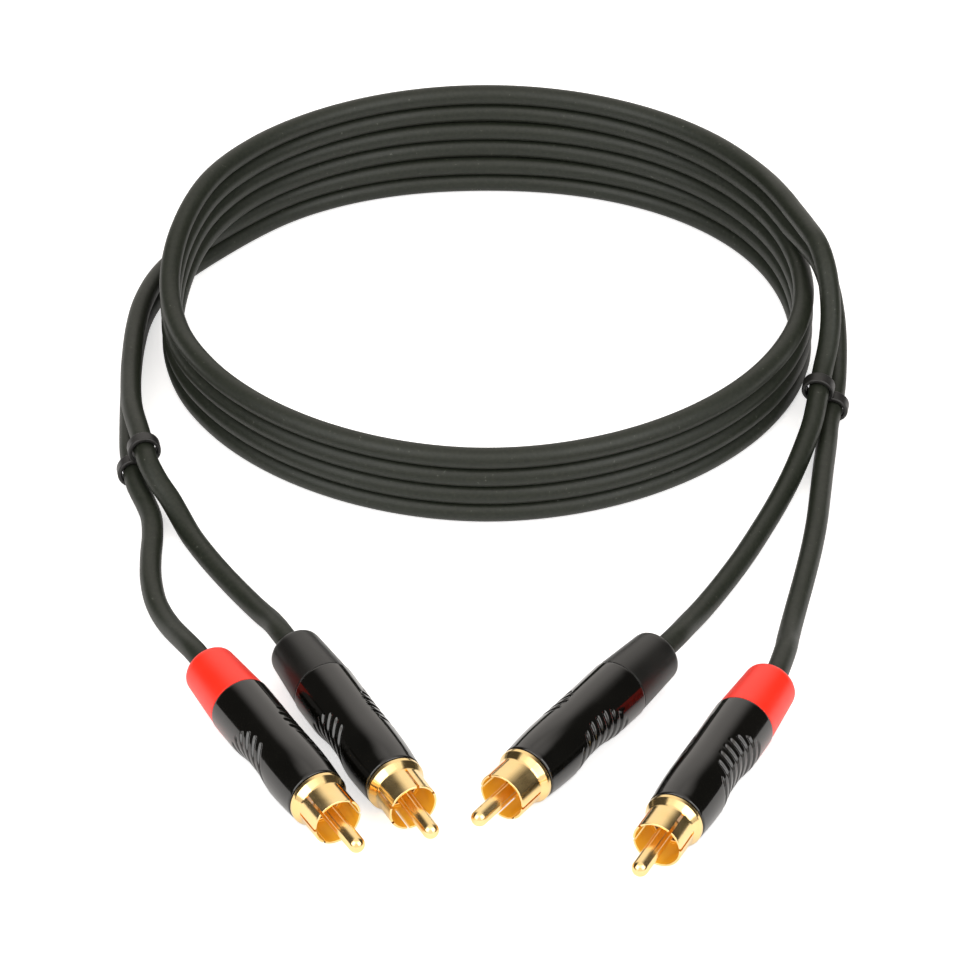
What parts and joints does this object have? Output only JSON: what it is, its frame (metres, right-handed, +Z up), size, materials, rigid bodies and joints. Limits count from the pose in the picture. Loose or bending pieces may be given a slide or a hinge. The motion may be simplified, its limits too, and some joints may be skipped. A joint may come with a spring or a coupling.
{
  "type": "audio cable",
  "caption": "Stereo audio cable of two joined round leads, coiled on edge, with splitter clips and red and black phono plugs with ribbed housings and slotted gold shells.",
  "frame": {"origin": "on the floor, under the middle of the box round the four plugs and the two clips", "axes": "+Z up from the floor that the cable lies on, -Y the way the plugs' pins point, +X from the left plugs to the right plugs"},
  "size_m": [0.1538, 0.2411, 0.0269],
  "materials": {
    "housing": "polished black moulding",
    "red_boot": "soft satin red",
    "black_boot": "soft satin black",
    "contact": "bright gold plate on turned brass",
    "insulator": "smooth off-white",
    "clamp": "plain black moulding",
    "clip": "smooth black moulding",
    "jacket": "matte charcoal soft plastic"
  },
  "bodies": {
    "root": {"left_red_boot": "red_boot", "left_red_housing": "housing", "left_red_cable_clamp": "clamp", "left_red_outer_contact": "contact", "left_red_insulator": "insulator", "left_red_centre_pin": "contact", "left_red_lead": "jacket", "left_black_boot": "black_boot", "left_black_housing": "housing", "left_black_cable_clamp": "clamp", "left_black_outer_contact": "contact", "left_black_insulator": "insulator", "left_black_centre_pin": "contact", "left_black_lead": "jacket", "right_black_boot": "black_boot", "right_black_housing": "housing", "right_black_cable_clamp": "clamp", "right_black_outer_contact": "contact", "right_black_insulator": "insulator", "right_black_centre_pin": "contact", "right_black_lead": "jacket", "right_red_boot": "red_boot", "right_red_housing": "housing", "right_red_cable_clamp": "clamp", "right_red_outer_contact": "contact", "right_red_insulator": "insulator", "right_red_centre_pin": "contact", "right_red_lead": "jacket", "coiled_leads": "jacket", "left_clip": "clip", "right_clip": "clip"}
  },
  "joints": []
}
